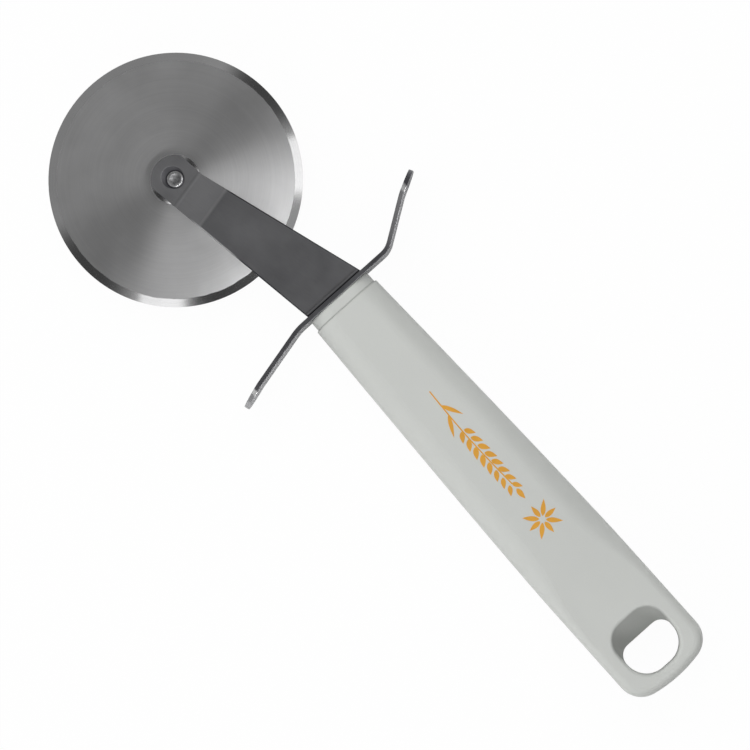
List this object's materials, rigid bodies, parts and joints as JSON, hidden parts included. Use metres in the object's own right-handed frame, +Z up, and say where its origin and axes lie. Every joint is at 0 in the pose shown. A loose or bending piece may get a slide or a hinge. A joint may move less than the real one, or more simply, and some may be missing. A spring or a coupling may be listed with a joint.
{
  "type": "pastry cutter wheel",
  "caption": "Hand-held pastry and pizza cutter: a rolling steel disc on a riveted axle in a sheet-metal fork, with a bent finger guard and a moulded handle with a hanging eye.",
  "frame": {"origin": "Under the middle of the object's box, on the surface that the back of the handle lies on.", "axes": "+X along the handle towards its tail, +Y across it to the thumb-rest side, +Z up along the wheel's axle, away from the surface."},
  "size_m": [0.2117, 0.079, 0.015],
  "materials": {
    "wheel_steel": "circular brushed faces with a brighter ground bevel",
    "rivet_steel": "bright, lightly marked by the riveting tool",
    "washer_steel": "bright rolled steel",
    "fork_steel": "satin rolled steel with tumbled edges",
    "guard_steel": "satin rolled steel with tumbled edges",
    "tang_steel": "plain rolled bar",
    "handle_plastic": "fine matt light warm grey moulding",
    "print_ink": "thin orange print on the handle's face"
  },
  "bodies": {
    "cutter_body": {"fork": "fork_steel", "finger_guard": "guard_steel", "tang": "tang_steel", "front_plug": "handle_plastic", "handle_shell": "handle_plastic", "axle_rivet": "rivet_steel", "axle_sleeve": "rivet_steel", "front_washer": "washer_steel", "rear_washer": "washer_steel"},
    "wheel": {"cutting_wheel": "wheel_steel"}
  },
  "joints": [
    {"name": "wheel_spin", "type": "hinge", "parent": "cutter_body", "child": "wheel", "pos_m": [-0.07335, -0.00704, 0.0075], "axis": [0, 0, 1], "continuous": true}
  ]
}
